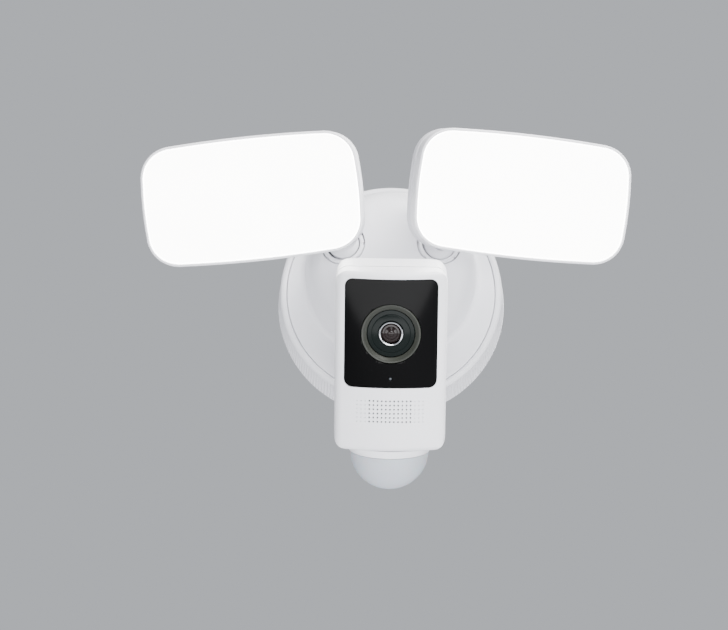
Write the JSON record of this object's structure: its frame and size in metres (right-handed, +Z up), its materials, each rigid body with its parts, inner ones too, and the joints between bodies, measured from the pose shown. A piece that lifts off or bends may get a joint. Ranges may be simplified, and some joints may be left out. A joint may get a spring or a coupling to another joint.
{
  "type": "floodlight security camera",
  "caption": "Wall floodlight with a camera: round ribbed base, swivelling rectangular lamp heads and a camera body with a motion-sensor dome, all on ball joints.",
  "frame": {"origin": "middle of the mounting plate's back face, on the wall plane", "axes": "+Z up, +Y into the wall, the lamps and camera look towards -Y, +X to the right seen from the front"},
  "size_m": [0.2791, 0.1478, 0.2055],
  "materials": {
    "shell": "satin cool white moulded plastic",
    "cast": "powder-coated white die casting",
    "steel": "zinc-plated",
    "rubber": "black seal rubber",
    "light_rubber": "pale grey silicone",
    "nylon": "natural nylon",
    "board": "green solder mask with parts",
    "chip": "black moulded plastic",
    "diffuser": "lit opal diffuser",
    "reflector": "white reflector",
    "window": "black gloss window",
    "lens_ring": "dark olive grey",
    "lens_disc": "dark green-black gloss",
    "chrome": "thin bright ring",
    "glass": "coated lens glass",
    "dome": "milky translucent dome",
    "light": "light pipe"
  },
  "bodies": {
    "root": {"lamp_left_socket": "cast", "lamp_right_socket": "cast", "camera_socket": "cast", "mounting_plate": "steel", "plate_screw_left": "steel", "plate_screw_right": "steel", "wall_gasket": "rubber", "base_ring": "shell", "base_cover": "shell", "lock_screw": "steel", "driver_board": "board", "terminal_block": "nylon"},
    "lamp_left_collar": {"lamp_left_collar": "shell"},
    "lamp_left_pan": {"lamp_left_friction_cup": "nylon"},
    "lamp_left_tilt": {"lamp_left_shroud": "shell"},
    "lamp_left_head": {"lamp_left_arm": "cast", "lamp_left_arm_screw": "steel", "lamp_left_housing": "cast", "lamp_left_gasket": "light_rubber", "lamp_left_bezel": "shell", "lamp_left_led_board": "board", "lamp_left_reflector": "reflector", "lamp_left_diffuser": "diffuser"},
    "lamp_right_collar": {"lamp_right_collar": "shell"},
    "lamp_right_pan": {"lamp_right_friction_cup": "nylon"},
    "lamp_right_tilt": {"lamp_right_shroud": "shell"},
    "lamp_right_head": {"lamp_right_arm": "cast", "lamp_right_arm_screw": "steel", "lamp_right_housing": "cast", "lamp_right_gasket": "light_rubber", "lamp_right_bezel": "shell", "lamp_right_led_board": "board", "lamp_right_reflector": "reflector", "lamp_right_diffuser": "diffuser"},
    "camera_collar": {"camera_collar": "shell"},
    "camera_pan": {"camera_friction_cup": "nylon"},
    "camera_tilt": {"camera_shroud": "shell"},
    "camera_head": {"camera_arm": "cast", "camera_arm_nut": "steel", "camera_rear_shell": "shell", "camera_front_shell": "shell", "camera_seal": "light_rubber", "camera_window": "window", "lens_ring": "lens_ring", "lens_disc": "lens_disc", "lens_trim": "chrome", "lens_glass": "glass", "lens_barrel": "chip", "sensor_board": "board", "main_board": "board", "speaker": "chip", "status_light": "light", "pir_collar": "shell", "pir_dome": "dome", "pir_sensor": "chip", "card_slot": "steel"},
    "card_door": {"card_door": "light_rubber"},
    "reset_button": {"reset_button": "chip"}
  },
  "joints": [
    {"name": "lamp_left_pan", "type": "hinge", "parent": "root", "child": "lamp_left_pan", "pos_m": [-0.027, -0.05, 0.0219], "axis": [0, 0, 1], "range_deg": [-28, 20]},
    {"name": "lamp_left_tilt", "type": "hinge", "parent": "lamp_left_pan", "child": "lamp_left_tilt", "pos_m": [-0.027, -0.05, 0.0219], "axis": [-0.9986, 0.0523, 0], "range_deg": [-20, 25]},
    {"name": "lamp_left_twist", "type": "hinge", "parent": "lamp_left_tilt", "child": "lamp_left_head", "pos_m": [-0.027, -0.05, 0.0219], "axis": [-0.0953, -0.9717, 0.2161], "range_deg": [-15, 15]},
    {"name": "lamp_left_collar_turn", "type": "hinge", "parent": "root", "child": "lamp_left_collar", "pos_m": [-0.027, -0.05, 0.0219], "axis": [-0.1378, -0.9806, 0.1392], "range_deg": [0, 90]},
    {"name": "lamp_right_pan", "type": "hinge", "parent": "root", "child": "lamp_right_pan", "pos_m": [0.027, -0.05, 0.0219], "axis": [0, 0, 1], "range_deg": [-20, 28]},
    {"name": "lamp_right_tilt", "type": "hinge", "parent": "lamp_right_pan", "child": "lamp_right_tilt", "pos_m": [0.027, -0.05, 0.0219], "axis": [-0.9781, -0.2079, 0], "range_deg": [-20, 25]},
    {"name": "lamp_right_twist", "type": "hinge", "parent": "lamp_right_tilt", "child": "lamp_right_head", "pos_m": [0.027, -0.05, 0.0219], "axis": [0.2239, -0.9701, 0.0938], "range_deg": [-15, 15]},
    {"name": "lamp_right_collar_turn", "type": "hinge", "parent": "root", "child": "lamp_right_collar", "pos_m": [0.027, -0.05, 0.0219], "axis": [0.1378, -0.9806, 0.1392], "range_deg": [0, 90]},
    {"name": "camera_pan", "type": "hinge", "parent": "root", "child": "camera_pan", "pos_m": [0, -0.061, -0.0159], "axis": [0, 0, 1], "range_deg": [-30, 30]},
    {"name": "camera_tilt", "type": "hinge", "parent": "camera_pan", "child": "camera_tilt", "pos_m": [0, -0.061, -0.0159], "axis": [-0.9997, 0.0262, 0], "range_deg": [-30, 14]},
    {"name": "camera_twist", "type": "hinge", "parent": "camera_tilt", "child": "camera_head", "pos_m": [0, -0.061, -0.0159], "axis": [0, -0.8988, -0.4384], "range_deg": [-12, 12]},
    {"name": "camera_collar_turn", "type": "hinge", "parent": "root", "child": "camera_collar", "pos_m": [0, -0.061, -0.0159], "axis": [0, -0.8988, -0.4384], "range_deg": [0, 90]},
    {"name": "card_door_swing", "type": "hinge", "parent": "camera_head", "child": "card_door", "pos_m": [-0.00076, -0.06785, -0.07987], "axis": [-0.9999, -0.0061, 0.0125], "range_deg": [0, 100]},
    {"name": "reset_button_press", "type": "slide", "parent": "camera_head", "child": "reset_button", "axis": [0, -0.8988, -0.4384], "range_m": [0, 0.0006], "stiffness_N_per_m": 400}
  ]
}
